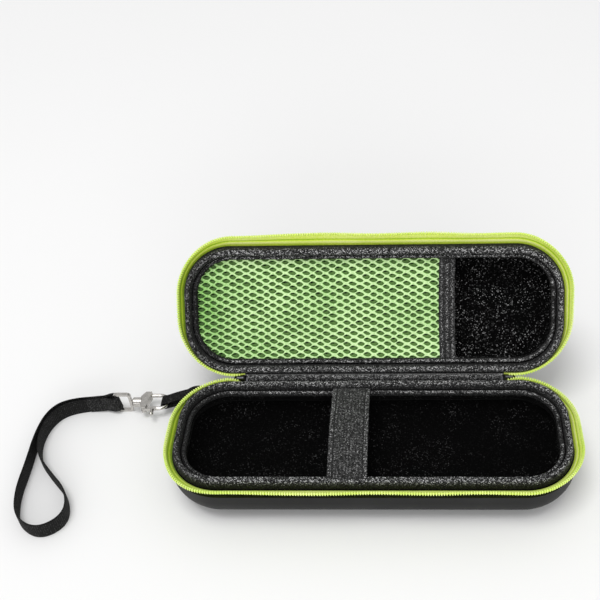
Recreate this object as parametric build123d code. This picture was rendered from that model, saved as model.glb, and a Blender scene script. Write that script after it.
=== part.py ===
"""Hard travel case for an electric shaver: two moulded halves, a spine, a zipper, liners and a wrist strap.

The base lies on the table and the lid stands open behind it.
Millimetres, +X along the case to the right, +Y back to the hinge, +Z up.
The origin is the middle of the base's flat underside.
"""
from build123d import *
from math import acos, atan2, cos, degrees, radians, sin, sqrt, tan
import os

# ---- moulded halves: both are the same moulding, and the lid is the base turned over
case_length = 230.0  # over the shells at their rims
case_width = 82.5
corner_radius = 32.0  # rim corners, seen from above
shell_height = 24.4  # underside to rim
shell_wall = 3.0
side_draft = 4.0  # degrees
shell_edge_radius = 19.0  # between the side walls and the flat underside

# ---- padded liner, and the two knit rolls that finish its rim
liner_wall = 3.6
liner_floor = 3.0
liner_lip_depth = 3.0  # rim down to where the lip starts to slope back to the wall
liner_slope_depth = 3.4
binding_start = 2.2  # from the shell's outer face
binding_width = 4.0
binding_rise = 6.2  # above the shell's rim
binding_rounding = 1.8
welt_gap = 1.2  # groove between the two rolls
welt_width = 2.4
welt_rise = 2.6
welt_rounding = 1.1
front_margin = 3.0  # the rolls and the liner's mouth stand this much further in along the front

# ---- zipper
tape_thickness = 1.0
tape_foot = 0.9  # in from the shell's outer face
tape_rise = 5.1
tape_flare_ends = 2.5  # how far the free edge leans out past the shell
tape_flare_front = 1.5
tape_setback = 0.3  # free edge along the back, in from the shell's outer face
coil_rise = 1.25
coil_width = 1.5
closing_gap = 0.25  # each coil's clearance to the plane where the halves meet
zipper_ends = 39.5  # from each end of the case to where the zipper ends, along the back
slider_length = 8.4

# ---- hinge
lid_open = 126.0  # degrees from closed, as the case stands open
spine_thickness = 0.8
hinge_lining_thickness = 0.4

# ---- pocket in the lid, and the strap in the base
mesh_thickness = 1.0
mesh_depth = 0.2  # below the rim
pocket_mouth = 75.5  # from the right end of the case to where the mesh ends and its elastic edge starts
pocket_edge_width = 9.5
pocket_edge_thickness = 2.0
strap_centre = -13.0
strap_width = 22.0
strap_thickness = 1.0
strap_arch = 4.3  # how far the strap bows up in the middle

# ---- sliders and their bar pulls
slider_clearance = 0.3
slider_plate = 1.2
slider_plate_overhang = 0.3  # plate's edge, past the keel on each side
slider_keel_top = 1.6  # from the hinge line
slider_plate_low = 5.4
slider_nose = 0.45  # length at the hinge line, and where the keel meets the plate, as shares of the slider's
slider_root = 0.75
bridge_rise = 3.0
bridge_bar = 1.0
bridge_width = 1.6
bridge_leg = 1.2
bridge_inset = 0.8  # from the plate's ends
pull_bar = 1.4  # crossbar that hooks under the bridge, and the eye's thickness
pull_bar_play = 0.15
pull_eye_play = 0.35  # each side of the bridge
pull_eye_side = 1.1
pull_eye_rounding = 0.5
pull_rod_radius = 1.7
pull_rod_rounding = 0.5
pull_length = 22.5  # crossbar to the tip

# ---- ribbon loop at the left end of the spine
ribbon_width = 7.0
ribbon_thickness = 0.9
ribbon_tail_drop = 2.1  # from the shell's rim down to the ribbon's upper edge
ribbon_tail_inset = 11.0  # from the left end of the case to where the tail ends and the loop starts
ribbon_reach = 24.9  # from the tail's end to the middle of the outer bend
ribbon_bend = 2.0  # inside radius
loop_overlap = 1.5  # loop's root on the tail
loop_root_top = 0.3  # root of the loop, above and below the tail's middle
loop_root_low = 3.1
loop_slit = 5.0  # root to where the two layers part
loop_slit_drop = 1.4

# ---- lobster clasp, on an axis that runs left from the ribbon
webbing_width = 11.5
webbing_thickness = 1.4
ring_wire = 1.5
ring_play = 0.5
hook_wire = 1.2  # radius
hook_bend = 5.2  # centre line
hook_arm = 7.0
hook_tip = 1.2
shoulder_length = 5.0
shoulder_thickness = 5.0
barrel_radius = 3.1
barrel_length = 5.4
barrel_wall = 1.1
stud_radius = 1.25
stud_head_radius = 1.75
stud_head_length = 1.8
stud_play = 0.15
ring_depth = 11.0
ring_thickness = 2.0
ring_gap = 0.7  # from the barrel
gate_radius = 1.1
gate_pin_radius = 0.6
gate_play = 0.06
gate_slot = 2.6
knob_radius = 1.1
knob_reach = 3.0
gate_side_play = 0.3
gate_tip_gap = 0.3

# ---- wrist strap, a loop of webbing that stands on its edge on the table
fold_length = 16.0
fold_play = 1.0
fold_close = 6.5  # from the ring's bar to where the two strands meet
strand_gap = 0.6
strap_route = [  # middle of the webbing, seen from above, from the clasp axis at the case's left end
    (-62.4, 1.0),
    (-75.5, -0.3),
    (-85.0, -9.8),
    (-88.0, -26.8),
    (-87.5, -47.8),
    (-88.0, -68.8),
    (-83.5, -85.8),
    (-69.0, -94.3),
    (-55.5, -84.3),
    (-59.0, -67.8),
    (-72.0, -54.3),
    (-82.5, -41.8),
    (-85.8, -26.8),
    (-83.0, -12.3),
    (-74.5, -2.8),
    (-62.4, -1.0),
]

# ---- worked out from the sizes above
zip_half_width = tape_rise + coil_rise + closing_gap
closing_height = shell_height + zip_half_width
rear = case_width / 2
end = case_length / 2
hinge_line = Axis((0, rear, closing_height), (1, 0, 0))
binding_end = binding_start + binding_width
welt_start = binding_end + welt_gap
welt_end = welt_start + welt_width
ring_outer = webbing_width + 2 * (ring_wire + ring_play)
clasp_height = ring_outer / 2
spine_end = end - zipper_ends
spine_length = 2 * spine_end
tape_end = spine_end + 0.3
wedge_half = (180 - lid_open) / 2  # half the angle between the two halves' backs
slider_centre = spine_end + 0.5 + slider_length / 2
tail_back = rear + 0.1
tail_middle_y = tail_back + ribbon_thickness / 2
tail_middle_z = shell_height - ribbon_tail_drop - ribbon_width / 2
tail_end = ribbon_tail_inset - end
loop_bend = tail_end - ribbon_reach
hook_centre = hook_bend - 1.2  # the wire sits a little to the right of the ribbon's bend
hook_arm_end = hook_centre + hook_arm
barrel_start = hook_arm_end + shoulder_length - 1.0
gate_start = hook_centre + hook_tip + gate_tip_gap
gate_pivot = hook_arm_end + 1.8
gate_slot_reach = gate_radius + 1.4
fold_start = barrel_start + barrel_length + ring_gap + ring_depth - ring_wire / 2


def rim_outline(inset, height, margin=0.0):
    """Rounded rectangle, `inset` inside the shell's rim and a margin more along the front."""
    radius = max(corner_radius - inset - margin / 2, 0.5)
    face = RectangleRounded(case_length - 2 * inset, case_width - 2 * inset - margin, radius)
    return Plane.XY.offset(height) * Pos(0, margin / 2) * face


def draft_inset(height):
    """How far the drafted side wall has come in at a height below the rim."""
    return (shell_height - height) * tan(radians(side_draft))


def moulded_block(inset, low, high, edge_radius):
    """Drafted block with rounded corners and a large radius along its lower edge."""
    bottom = rim_outline(inset + draft_inset(low), low)
    top = rim_outline(inset + draft_inset(high), high)
    block = loft([bottom.face(), top.face()], ruled=True)
    lower = block.edges().group_by(Axis.Z)[0]
    return fillet(lower, edge_radius)


def rim_ring(outer_inset, inner_inset, low, high, rounding):
    """Ring that follows the rim, with a rounded crest."""
    outer = extrude(rim_outline(outer_inset, low, front_margin), high - low)
    inner = extrude(rim_outline(inner_inset, low, front_margin), high - low)
    ring = outer - inner
    crest = ring.edges().group_by(Axis.Z)[-1]
    return fillet(crest, rounding)


def shell():
    """Pressed foam shell of one half."""
    over = 1.0
    outer = moulded_block(0, 0, shell_height, shell_edge_radius)
    hollow = moulded_block(shell_wall, shell_wall, shell_height + over, shell_edge_radius - shell_wall)
    return outer - hollow


def liner():
    """Padded liner of one half: it hugs the shell and turns in under the rim as a soft lip."""
    edge = shell_edge_radius - shell_wall
    floor = shell_wall + liner_floor
    slope_low = shell_height - liner_lip_depth - liner_slope_depth
    lip_low = shell_height - liner_lip_depth
    outer = moulded_block(shell_wall, shell_wall, shell_height, edge)
    well = moulded_block(shell_wall + liner_wall, floor, shell_height, edge - liner_wall)
    well = split(well, Plane.XY.offset(slope_low), keep=Keep.BOTTOM)
    neck_low = rim_outline(shell_wall + liner_wall + draft_inset(slope_low), slope_low)
    neck_high = rim_outline(welt_end, lip_low, front_margin)
    neck = loft([neck_low.face(), neck_high.face()], ruled=True)
    mouth = extrude(rim_outline(welt_end, lip_low, front_margin), liner_lip_depth)
    return outer - well - neck - mouth


def binding():
    """Outer knit roll, sewn over the shell's rim."""
    return rim_ring(binding_start, binding_end, shell_height, shell_height + binding_rise, binding_rounding)


def welt():
    """Inner knit roll, along the edge of the liner."""
    return rim_ring(welt_start, welt_end, shell_height, shell_height + welt_rise, welt_rounding)


def free_outline(inset, height):
    """Outline of the tape's free edge: past the shell at the ends and the front, just inside it behind."""
    length = case_length + 2 * (tape_flare_ends - inset)
    width = case_width + tape_flare_front - tape_setback - 2 * inset
    radius = corner_radius + (tape_flare_ends + tape_flare_front) / 2 - inset
    middle = -(tape_flare_front + tape_setback) / 2
    return Plane.XY.offset(height) * Pos(0, middle) * RectangleRounded(length, width, radius)


def open_at_spine(ring, gap_end):
    """Takes the stretch along the hinge, which the spine closes, out of a ring round the rim."""
    gap = Pos(0, rear, closing_height) * Box(2 * gap_end, corner_radius, 4 * zip_half_width)
    return ring - gap


def zipper_tape():
    """Zipper tape of one half: it stands on the rim and leans out."""
    low = shell_height
    high = low + tape_rise
    outer = [rim_outline(tape_foot, low, front_margin).face(), free_outline(0, high).face()]
    core = tape_foot + tape_thickness
    inner = [rim_outline(core, low, front_margin).face(), free_outline(tape_thickness, high).face()]
    band = loft(outer, ruled=True) - loft(inner, ruled=True)
    return open_at_spine(band, tape_end)


def zipper_coil():
    """Coil along the tape's free edge, as a plain bead."""
    low = shell_height + tape_rise
    band = extrude(free_outline(0, low), coil_rise) - extrude(free_outline(coil_width, low), coil_rise)
    outer_edges = band.edges().group_by(Axis.Z)[-1]
    return open_at_spine(fillet(outer_edges, coil_width / 4), tape_end)


def to_lid(part):
    """Turns a piece of one half over onto the base, and opens it."""
    closed = mirror(part, Plane.XY.offset(closing_height))
    return closed.rotate(hinge_line, -lid_open)


def wedge_plane(x, down=0.0):
    """Plane across the wedge between the halves' backs: local Z down its middle, local X along the case."""
    half = radians(wedge_half)
    hinge = Plane(origin=(x, rear, closing_height), x_dir=(1, 0, 0), z_dir=(0, sin(half), -cos(half)))
    return hinge.offset(down)


def folded_strip(inner, thickness, reach):
    """Strip from the base's rim up to the hinge line, round it, and down again to the lid's rim."""
    outer = inner + thickness
    middle = (rear - inner - thickness / 2, closing_height - reach / 2)
    leg = Pos(0, *middle) * Box(spine_length, thickness, reach)
    turns = [radians(180 - share * lid_open) for share in (0, 0.5, 1)]
    fan = Polyline((0, 0), *[(3 * outer * cos(turn), 3 * outer * sin(turn)) for turn in turns], close=True)
    bend = make_face(fan) & Circle(outer)
    if inner > 0:
        bend -= Circle(inner)
    bend = Plane.YZ.offset(-spine_end) * Pos(rear, closing_height) * bend
    return leg + extrude(bend, spine_length) + to_lid(leg)


def spine_cover():
    """Glossy outer cover of the spine, which folds at the hinge line."""
    return folded_strip(0, spine_thickness, zip_half_width)


def hinge_lining():
    """Knit strip behind the spine cover, in the groove between the two outer rolls."""
    return folded_strip(spine_thickness, hinge_lining_thickness, binding_rise - binding_rounding / 2)


def elastic_strap():
    """Elastic strap across the base: its ends go down between the two rolls, and it bows up over the well."""
    middle = front_margin / 2
    foot = rear - binding_end - middle - (welt_gap - strap_thickness) / 2
    inner_foot = foot - strap_thickness
    bend = shell_height + welt_rise + 0.3
    top = bend + strap_arch
    low = shell_height
    side = Plane.YZ.offset(strap_centre - strap_width / 2) * Pos(middle, 0)
    outer_arch = ThreePointArc((-foot, bend), (0, top + strap_thickness), (foot, bend))
    inner_arch = ThreePointArc((inner_foot, bend), (0, top), (-inner_foot, bend))
    back = Polyline((foot, bend), (foot, low), (inner_foot, low), (inner_foot, bend))
    front = Polyline((-inner_foot, bend), (-inner_foot, low), (-foot, low), (-foot, bend))
    return extrude(side * make_face([outer_arch, back, inner_arch, front]), strap_width)


def mesh_pocket():
    """Mesh panel of the lid's pocket, sewn in along the lip on three sides."""
    low = shell_height - mesh_depth - mesh_thickness
    sheet = extrude(rim_outline(welt_end, low, front_margin), mesh_thickness)
    mouth = end - pocket_mouth
    beyond = Pos(mouth + end, 0, low) * Box(case_length, case_width, 4 * mesh_thickness)
    return sheet - beyond


def pocket_edge():
    """Elastic edge of the pocket's mouth."""
    low = shell_height - mesh_depth - (mesh_thickness + pocket_edge_thickness) / 2
    width = case_width - 2 * welt_end - front_margin
    middle = (end - pocket_mouth + pocket_edge_width / 2, front_margin / 2, low + pocket_edge_thickness / 2)
    band = Pos(*middle) * Box(pocket_edge_width, width, pocket_edge_thickness)
    return fillet(band.edges().filter_by(Axis.Y), 0.8)


def slider(side):
    """Zipper slider in the wedge: keel between the tapes, then plate, and the bridge that holds the pull."""
    half = radians(wedge_half)
    frame = wedge_plane(side * slider_centre)
    plate_half = slider_plate_low * tan(half) - slider_clearance / cos(half)
    keel_half = slider_keel_top * tan(half) - slider_clearance / cos(half)
    bridge_low = slider_plate_low + slider_plate
    leg_place = slider_length / 2 - bridge_inset - bridge_leg / 2
    with BuildPart() as body:
        with BuildSketch(frame.offset(slider_keel_top)):
            Rectangle(slider_length * slider_nose, 2 * keel_half)
        with BuildSketch(frame.offset(slider_plate_low)):
            Rectangle(slider_length * slider_root, 2 * plate_half)
        loft(ruled=True)
        with BuildSketch(frame.offset(slider_plate_low)):
            RectangleRounded(slider_length, 2 * (plate_half + slider_plate_overhang), plate_half * 0.8)
        extrude(amount=slider_plate)
        with BuildSketch(frame.offset(bridge_low)):
            with Locations((-leg_place, 0), (leg_place, 0)):
                Rectangle(bridge_leg, bridge_width)
        extrude(amount=bridge_rise)
        with BuildSketch(frame.offset(bridge_low + bridge_rise - bridge_bar)):
            Rectangle(slider_length - 2 * bridge_inset, bridge_width)
        extrude(amount=bridge_bar)
    return body.part


def pull(side):
    """Bar pull that hangs down the wedge: a crossbar under the bridge, an eye beside it, and a round bar."""
    crossbar = slider_plate_low + slider_plate + bridge_rise - bridge_bar - pull_bar_play - pull_bar / 2
    frame = wedge_plane(side * slider_centre, crossbar)
    bridge_end = slider_length / 2 - bridge_inset
    eye_end = sqrt(bridge_end ** 2 + (bridge_bar + pull_bar_play + pull_bar / 2) ** 2) + pull_eye_play
    eye_half = bridge_width / 2 + pull_eye_play
    head_half = eye_half + pull_eye_side
    head_end = eye_end + pull_eye_side
    across = Plane(origin=frame.origin, x_dir=frame.y_dir, z_dir=frame.x_dir)
    with BuildPart() as bar:
        with BuildSketch(across.offset(-pull_bar / 2)):
            with Locations((0, (head_end - pull_bar / 2) / 2)):
                RectangleRounded(2 * head_half, head_end + pull_bar / 2, pull_eye_side)
            with Locations((0, (eye_end + pull_bar / 2) / 2)):
                RectangleRounded(2 * eye_half, eye_end - pull_bar / 2, pull_eye_play, mode=Mode.SUBTRACT)
        extrude(amount=pull_bar)
        fillet([edge for face in bar.faces().filter_by(Axis.X) for edge in face.edges()], pull_eye_rounding)
        with BuildSketch(frame.offset(head_end - 0.3)):
            Circle(pull_rod_radius)
        extrude(amount=pull_length - head_end + 0.3)
        tip = bar.faces().sort_by(Axis(frame.origin, frame.z_dir))[-1]
        fillet(tip.edges(), pull_rod_rounding)
    return bar.part


def loop_side(high, low, radius):
    """Side view of the ribbon round its bend: a disc, and the two straight runs to a root."""
    bend = Vector(loop_bend, clasp_height)
    disc = Pos(bend.X, bend.Y) * Circle(radius)
    points = [high, tangent_point(high, bend, radius, 1)]
    points += [tangent_point(low, bend, radius, -1)] + ([low] if low != high else [])
    return disc + make_face(Polyline(*points, close=True))


def tangent_point(start, centre, radius, side):
    """Where a line from a point touches a circle: above the line of centres, or below it."""
    reach = start - centre
    turn = side * acos(radius / reach.length)
    heading = atan2(reach.Y, reach.X) + turn
    return centre + Vector(radius * cos(heading), radius * sin(heading))


def ribbon_loop():
    """Ribbon sewn to the base's rear wall at the spine's left end, which ends in a loop for the clasp."""
    tail_middle = (tail_end - spine_end) / 2
    tail_length = -spine_end - tail_end
    tail = Pos(tail_middle, tail_middle_y, tail_middle_z)
    tail = tail * Box(tail_length, ribbon_thickness, ribbon_width)
    root = Vector(tail_end + loop_overlap, tail_middle_z)
    slit = root - Vector(loop_slit, loop_slit_drop)
    high = root + Vector(0, loop_root_top)
    low = root - Vector(0, loop_root_low)
    outline = loop_side(high, low, ribbon_bend + ribbon_thickness)
    opening = loop_side(slit, slit, ribbon_bend)
    side = Plane.XZ.offset(-tail_middle_y - ribbon_width / 2)
    loop = extrude(side * (outline - opening), ribbon_width)
    return tail + loop


def clasp_plane(along, sideways=0.0):
    """Plane on the clasp's axis: local X runs left from the ribbon's bend, local Y to the front, Z up."""
    origin = (loop_bend - along, tail_middle_y - sideways, clasp_height)
    return Plane(origin=origin, x_dir=(-1, 0, 0), z_dir=(0, 0, 1))


def clasp_hook():
    """Body of the lobster clasp: round wire hook, slotted shoulder, and barrel with a cavity for the stud."""
    with BuildPart() as hook:
        with BuildLine(clasp_plane(0)):
            Line((hook_arm_end, -hook_bend), (hook_centre, -hook_bend))
            ThreePointArc((hook_centre, -hook_bend), (hook_centre - hook_bend, 0), (hook_centre, hook_bend))
            Line((hook_centre, hook_bend), (hook_centre + hook_tip, hook_bend))
        start = clasp_plane(hook_arm_end, -hook_bend)
        with BuildSketch(Plane(origin=start.origin, x_dir=(0, 1, 0), z_dir=(1, 0, 0))):
            Circle(hook_wire)
        sweep()
        with BuildSketch(clasp_plane(0).offset(-shoulder_thickness / 2)):
            with BuildLine():
                low = -hook_bend - hook_wire
                high = hook_bend + hook_wire
                Polyline(
                    (hook_arm_end - 1.5, low),
                    (hook_arm_end - 1.5, low + 2 * hook_wire),
                    (hook_arm_end + 0.4, high - 4.6),
                    (hook_arm_end + 0.4, high),
                    (hook_arm_end + 3.2, high),
                    (barrel_start + 0.6, barrel_radius - 0.4),
                    (barrel_start + 0.6, -barrel_radius + 0.4),
                    (hook_arm_end + 2.0, low),
                    close=True,
                )
            make_face()
        extrude(amount=shoulder_thickness)
        axis = clasp_plane(barrel_start)
        with BuildSketch(Plane(origin=axis.origin, x_dir=(0, 1, 0), z_dir=(-1, 0, 0))):
            Circle(barrel_radius)
        extrude(amount=barrel_length)
        chamfer(hook.faces().sort_by(Axis.X)[0].edges(), 0.5)
        cavity = clasp_plane(barrel_start + barrel_wall)
        with BuildSketch(Plane(origin=cavity.origin, x_dir=(0, 1, 0), z_dir=(-1, 0, 0))):
            Circle(stud_head_radius + stud_play)
        extrude(amount=barrel_length - 2 * barrel_wall, mode=Mode.SUBTRACT)
        with BuildSketch(Plane(origin=cavity.origin, x_dir=(0, 1, 0), z_dir=(-1, 0, 0))):
            Circle(stud_radius + stud_play)
        extrude(amount=barrel_length, mode=Mode.SUBTRACT)
        with BuildSketch(clasp_plane(0).offset(-gate_slot / 2)):
            with Locations((gate_pivot, hook_bend)):
                Rectangle(2 * gate_slot_reach, 2 * gate_slot_reach)
        extrude(amount=gate_slot, mode=Mode.SUBTRACT)
        with BuildSketch(clasp_plane(0).offset(-shoulder_thickness)):
            with Locations((gate_pivot, hook_bend)):
                Circle(gate_pin_radius)
        extrude(amount=2 * shoulder_thickness, mode=Mode.SUBTRACT)
    return hook.part


def gate_pin():
    """Rivet that the gate turns on."""
    with BuildPart() as pin:
        with BuildSketch(clasp_plane(0).offset(-shoulder_thickness / 2)):
            with Locations((gate_pivot, hook_bend)):
                Circle(gate_pin_radius)
        extrude(amount=shoulder_thickness)
    return pin.part


def clasp_gate():
    """Sprung gate with the thumb knob that opens it."""
    thickness = gate_slot - 2 * gate_side_play
    with BuildPart() as gate:
        with BuildSketch(clasp_plane(0).offset(-thickness / 2)):
            with Locations((gate_pivot, hook_bend)):
                Circle(gate_radius + 0.3)
            with Locations(((gate_start + gate_pivot) / 2, hook_bend)):
                Rectangle(gate_pivot - gate_start, 2 * gate_radius)
        extrude(amount=thickness)
        knob = clasp_plane(gate_start + knob_radius + 1.0, hook_bend)
        with BuildSketch(Plane(origin=knob.origin, x_dir=(1, 0, 0), z_dir=(0, -1, 0))):
            Circle(knob_radius)
        extrude(amount=gate_radius + knob_reach)
        tip = knob.origin + Vector(0, -gate_radius - knob_reach, 0)
        with Locations(tip):
            Sphere(knob_radius * 1.25)
        with BuildSketch(clasp_plane(0).offset(-thickness)):
            with Locations((gate_pivot, hook_bend)):
                Circle(gate_pin_radius + gate_play)
        extrude(amount=2 * thickness, mode=Mode.SUBTRACT)
    return gate.part


def swivel_ring():
    """Rectangular ring that takes the webbing, with the stud that turns in the clasp's barrel."""
    head_start = barrel_start + barrel_wall + (barrel_length - 2 * barrel_wall - stud_head_length) / 2
    ring_start = barrel_start + barrel_length + ring_gap
    outer = ring_outer
    with BuildPart() as ring:
        head = clasp_plane(head_start)
        with BuildSketch(Plane(origin=head.origin, x_dir=(0, 1, 0), z_dir=(-1, 0, 0))):
            Circle(stud_head_radius)
        extrude(amount=stud_head_length)
        with BuildSketch(Plane(origin=head.origin, x_dir=(0, 1, 0), z_dir=(-1, 0, 0))):
            Circle(stud_radius)
        extrude(amount=ring_start - head_start + ring_wire / 2)
        face = clasp_plane(0)
        upright = Plane(origin=face.origin, x_dir=(-1, 0, 0), z_dir=(0, -1, 0))
        with BuildSketch(upright.offset(-ring_thickness / 2)):
            with Locations((ring_start + ring_depth / 2, 0)):
                RectangleRounded(ring_depth, outer, 2.4)
                RectangleRounded(ring_depth - 2 * ring_wire, outer - 2 * ring_wire, 1.0, mode=Mode.SUBTRACT)
        extrude(amount=ring_thickness)
    return ring.part


def strap_fold():
    """End of the webbing, folded round the ring's bar and stitched; it slopes down to the table."""
    inner = ring_wire / 2 + fold_play
    outer = inner + webbing_thickness
    eye_end = fold_close * 0.7
    bar = clasp_plane(fold_start)
    with BuildPart() as fold:
        with BuildSketch(bar.offset(-webbing_width / 2)):
            Circle(outer)
            with BuildLine():
                Polyline(
                    (0, outer),
                    (fold_close, webbing_thickness + strand_gap / 2),
                    (fold_length, webbing_thickness + strand_gap / 2),
                    (fold_length, -webbing_thickness - strand_gap / 2),
                    (fold_close, -webbing_thickness - strand_gap / 2),
                    (0, -outer),
                    close=True,
                )
            make_face()
            Circle(inner, mode=Mode.SUBTRACT)
            with BuildLine():
                Polyline((0, inner), (eye_end, 0.2), (eye_end, -0.2), (0, -inner), close=True)
            make_face(mode=Mode.SUBTRACT)
        extrude(amount=webbing_width)
    droop = degrees(atan2(clasp_height - webbing_width / 2, fold_length))
    return fold.part.rotate(Axis(bar.origin, (0, 1, 0)), -droop)


def wrist_strap():
    """Ribbed webbing in one loop: out along the table, round an open end, and back beside itself."""
    low = webbing_width / 2
    route = [(x - end, y + tail_middle_y, low) for x, y in strap_route]
    radii = []
    for before, corner, after in zip(route, route[1:], route[2:]):
        first = Vector(corner) - Vector(before)
        second = Vector(after) - Vector(corner)
        half_turn = radians(first.get_angle(second)) / 2
        radii.append(0.45 * min(first.length, second.length) / tan(half_turn))
    path = FilletPolyline(*route, radius=radii)
    heading = path % 0
    section = Plane(origin=path @ 0, x_dir=(0, 0, 1), z_dir=heading)
    strap = sweep(section * Rectangle(webbing_width, webbing_thickness), path=path)
    print("strap radii", [round(radius, 1) for radius in radii])
    print("strap volume", round(strap.volume))
    print("section x length", round(webbing_width * webbing_thickness * path.length))
    return strap


parts = {
    "base_shell": shell,
    "base_lining": liner,
    "base_binding": binding,
    "base_inner_welt": welt,
    "base_zipper_tape": zipper_tape,
    "base_zipper_coil": zipper_coil,
    "elastic_strap": elastic_strap,
    "spine_cover": spine_cover,
    "hinge_lining": hinge_lining,
    "ribbon_loop": ribbon_loop,
    "clasp_hook": clasp_hook,
    "gate_pin": gate_pin,
    "clasp_gate": clasp_gate,
    "swivel_ring": swivel_ring,
    "strap_fold": strap_fold,
    "wrist_strap": wrist_strap,
    "lid_shell": lambda: to_lid(shell()),
    "lid_lining": lambda: to_lid(liner()),
    "lid_binding": lambda: to_lid(binding()),
    "lid_inner_welt": lambda: to_lid(welt()),
    "lid_zipper_tape": lambda: to_lid(zipper_tape()),
    "lid_zipper_coil": lambda: to_lid(zipper_coil()),
    "mesh_pocket": lambda: to_lid(mesh_pocket()),
    "pocket_edge": lambda: to_lid(pocket_edge()),
    "slider_left": lambda: slider(-1),
    "slider_right": lambda: slider(1),
    "pull_left": lambda: pull(-1),
    "pull_right": lambda: pull(1),
}

os.makedirs("parts", exist_ok=True)
for node, make in parts.items():
    export_step(make(), f"parts/{node}.step")
print("wrote", len(parts), "parts")
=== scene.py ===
"""Hard zip case for an electric shaver: knit rolls, fleece, lime zipper, net pocket, elastic and webbing."""
import bpy
import bmesh
import math
from mathutils import Matrix, Vector
from mathutils import noise as smooth_noise


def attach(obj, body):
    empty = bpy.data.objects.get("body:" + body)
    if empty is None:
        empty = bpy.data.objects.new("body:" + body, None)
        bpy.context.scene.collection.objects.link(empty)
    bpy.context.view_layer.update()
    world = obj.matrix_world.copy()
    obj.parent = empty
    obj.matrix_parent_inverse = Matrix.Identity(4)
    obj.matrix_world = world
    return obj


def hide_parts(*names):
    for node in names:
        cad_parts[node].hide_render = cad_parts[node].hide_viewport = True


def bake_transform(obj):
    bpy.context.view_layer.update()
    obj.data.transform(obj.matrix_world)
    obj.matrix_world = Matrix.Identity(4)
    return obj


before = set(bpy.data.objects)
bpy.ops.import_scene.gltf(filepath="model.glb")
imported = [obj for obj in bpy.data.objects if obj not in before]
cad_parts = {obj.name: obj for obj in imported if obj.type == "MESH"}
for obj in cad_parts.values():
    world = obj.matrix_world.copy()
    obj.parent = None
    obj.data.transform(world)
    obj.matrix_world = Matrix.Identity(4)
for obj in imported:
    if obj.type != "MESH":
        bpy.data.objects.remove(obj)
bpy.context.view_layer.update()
MM = 0.001

# ---- sizes of the case in millimetres, with part.py's names
case_length = 230.0
case_width = 82.5
corner_radius = 32.0
shell_height = 24.4
shell_wall = 3.0
side_draft = math.radians(4.0)
shell_edge_radius = 19.0
liner_wall = 3.6
liner_floor = 3.0
liner_lip_depth = 3.0
liner_slope_depth = 3.4
binding_start = 2.2
binding_width = 4.0
binding_rise = 6.2
welt_start = 7.4
welt_width = 2.4
welt_rise = 2.6
front_margin = 3.0
tape_thickness = 1.0
tape_foot = 0.9
tape_rise = 5.1
tape_flare_ends = 2.5
tape_flare_front = 1.5
tape_setback = 0.3
zip_half_width = 6.6
lid_open = 126.0  # degrees from closed
spine_end = 75.5
tape_end = 75.8
spine_thickness = 0.8
mesh_depth = 0.2
pocket_mouth = 75.5
pocket_edge_width = 9.5
strap_centre = -13.0
strap_width = 22.0
strap_arch = 4.3
ribbon_width = 7.0
clasp_height = 7.75
webbing_width = 11.5
webbing_thickness = 1.4

rear = case_width / 2
end = case_length / 2
closing_height = shell_height + zip_half_width
welt_end = welt_start + welt_width
ribbon_y = rear + 0.55
ribbon_z = 18.8
tail_end = 11.0 - end  # where the ribbon leaves the spine
loop_bend = tail_end - 24.9  # middle of the ribbon's turn round the clasp's wire
fold_start = loop_bend - 31.35  # middle of the ring's bar

strap_route = [  # middle of the webbing, seen from above, from the clasp axis at the case's left end
    (-62.4, 1.0),
    (-75.5, -0.3),
    (-85.0, -9.8),
    (-88.0, -26.8),
    (-87.5, -47.8),
    (-88.0, -68.8),
    (-83.5, -85.8),
    (-69.0, -94.3),
    (-55.5, -84.3),
    (-59.0, -67.8),
    (-72.0, -54.3),
    (-82.5, -41.8),
    (-85.8, -26.8),
    (-83.0, -12.3),
    (-74.5, -2.8),
    (-62.4, -1.0),
]


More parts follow.
